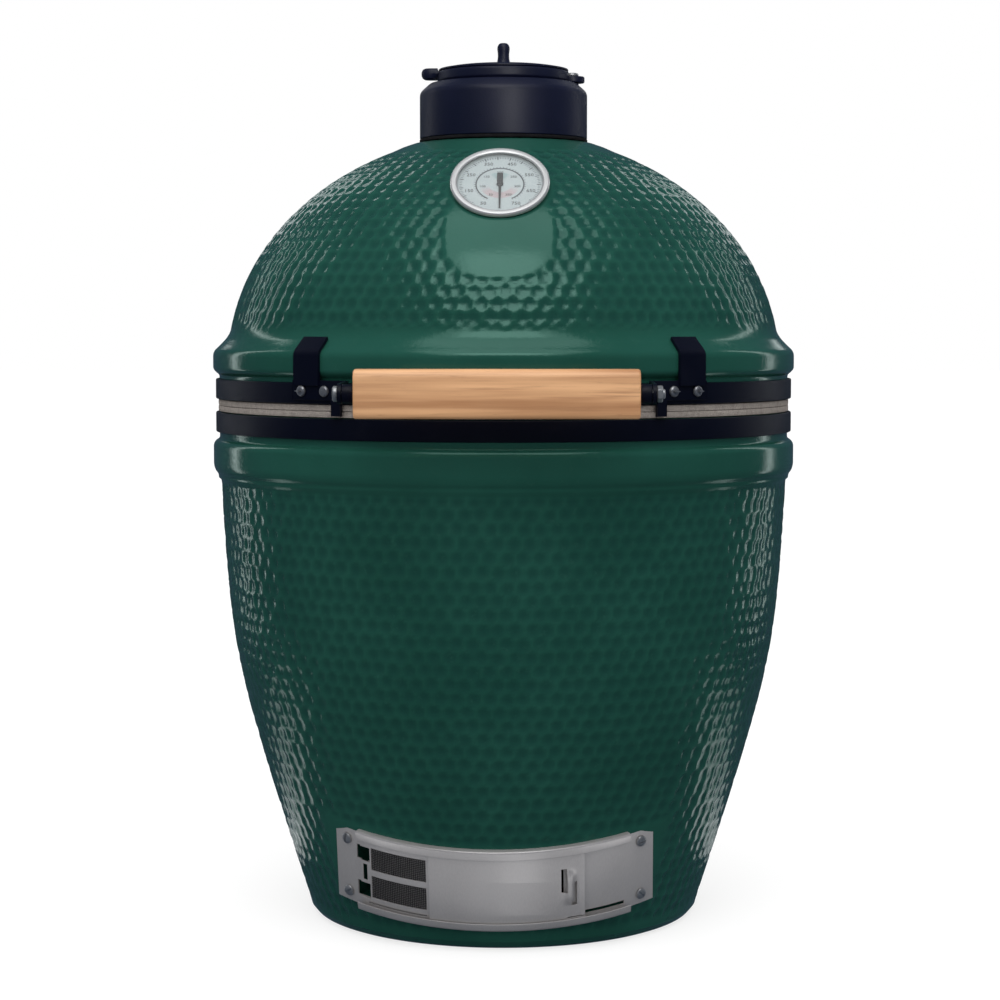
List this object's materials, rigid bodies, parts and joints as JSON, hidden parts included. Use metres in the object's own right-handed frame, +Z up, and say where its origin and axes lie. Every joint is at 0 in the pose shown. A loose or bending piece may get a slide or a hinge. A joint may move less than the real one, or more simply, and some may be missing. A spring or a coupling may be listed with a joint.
{
  "type": "kamado grill",
  "caption": "Egg-shaped ceramic grill with a dimpled green glaze, a hinged dome with a wooden handle and thermometer, a swinging vented cap and a sliding steel draft door.",
  "frame": {"origin": "on the grill's axis, at the middle of the foot's underside", "axes": "+Z up along the axis; the handle, thermometer and draft door face -Y; +X is to the viewer's right"},
  "size_m": [0.5456, 0.6881, 0.8178],
  "materials": {
    "green_glaze": "gloss",
    "bare_ceramic": "matte",
    "felt": "matte",
    "cast_iron": "matte",
    "grid_steel": "satin",
    "black_band": "satin",
    "fixings": "satin",
    "spring_steel": "satin",
    "door_steel": "satin",
    "wood": "satin",
    "gauge_steel": "polished",
    "dial_face": "matte",
    "needle_black": "satin",
    "gauge_glass": "gloss",
    "cap_black": "satin"
  },
  "bodies": {
    "base": {"base_shell": "green_glaze", "base_gasket": "felt", "fire_box_lower": "bare_ceramic", "fire_box_upper": "bare_ceramic", "fire_ring": "bare_ceramic", "charcoal_grate": "cast_iron", "cooking_grid": "grid_steel", "lower_band": "black_band", "lower_band_bolt": "fixings", "lower_band_nut": "fixings", "hinge_lower_bracket": "black_band", "hinge_pin": "fixings", "hinge_pin_nut": "fixings", "spring_rod_lower": "fixings", "lid_spring_left": "spring_steel", "lid_spring_right": "spring_steel", "draft_frame": "door_steel", "draft_screw_1": "door_steel", "draft_screw_2": "door_steel", "draft_screw_3": "door_steel", "draft_screw_4": "door_steel"},
    "solid_door": {"draft_slide": "door_steel"},
    "screen_door": {"screen_slide": "door_steel", "screen_mesh_upper": "grid_steel", "screen_mesh_lower": "grid_steel"},
    "lid": {"dome_shell": "green_glaze", "dome_gasket": "felt", "upper_band": "black_band", "upper_band_bolt": "fixings", "upper_band_nut": "fixings", "hinge_upper_bracket": "black_band", "spring_rod_upper": "fixings", "handle_bracket_left": "black_band", "handle_bracket_right": "black_band", "bracket_bolt_1": "black_band", "bracket_bolt_2": "black_band", "bracket_bolt_3": "black_band", "bracket_bolt_4": "black_band", "handle_bar": "wood", "handle_rod": "fixings", "handle_nut": "fixings", "handle_bush_left": "black_band", "handle_bush_right": "black_band", "gauge_housing": "gauge_steel", "gauge_dial": "dial_face", "gauge_lens": "gauge_glass", "gauge_stem": "fixings", "gauge_nut": "fixings", "cap_seal": "felt", "cap_collar": "cap_black", "cap_pivot_pin": "cap_black"},
    "needle": {"gauge_needle": "needle_black"},
    "cap_plate": {"cap_swing_plate": "cap_black"},
    "vent": {"vent_wheel": "cap_black", "vent_knob": "cap_black"}
  },
  "joints": [
    {"name": "lid_hinge", "type": "hinge", "parent": "base", "child": "lid", "pos_m": [0, 0.305, 0.478], "axis": [-1, 0, 0], "range_deg": [0, 70], "stiffness_Nm_per_rad": 20, "springref_deg": 69.9, "deforming": ["lid_spring_left", "lid_spring_right"]},
    {"name": "cap_swing", "type": "hinge", "parent": "lid", "child": "cap_plate", "pos_m": [0.0645, 0, 0.7804], "axis": [0, 0, -1], "range_deg": [0, 100]},
    {"name": "vent_turn", "type": "hinge", "parent": "cap_plate", "child": "vent", "pos_m": [0, 0, 0.7914], "axis": [0, 0, 1], "range_deg": [0, 30]},
    {"name": "gauge_needle_turn", "type": "hinge", "parent": "lid", "child": "needle", "pos_m": [0, -0.18, 0.6789], "axis": [0, 0.7071, -0.7071], "range_deg": [0, 300]},
    {"name": "draft_slide_move", "type": "hinge", "parent": "base", "child": "solid_door", "pos_m": [0.00019, 0.00534, 0.12287], "axis": [-0.0103, -0.2955, 0.9553], "range_deg": [-18, 11]},
    {"name": "screen_slide_move", "type": "hinge", "parent": "base", "child": "screen_door", "pos_m": [0.00019, 0.00534, 0.12287], "axis": [-0.0103, -0.2955, 0.9553], "range_deg": [0, 26]}
  ]
}
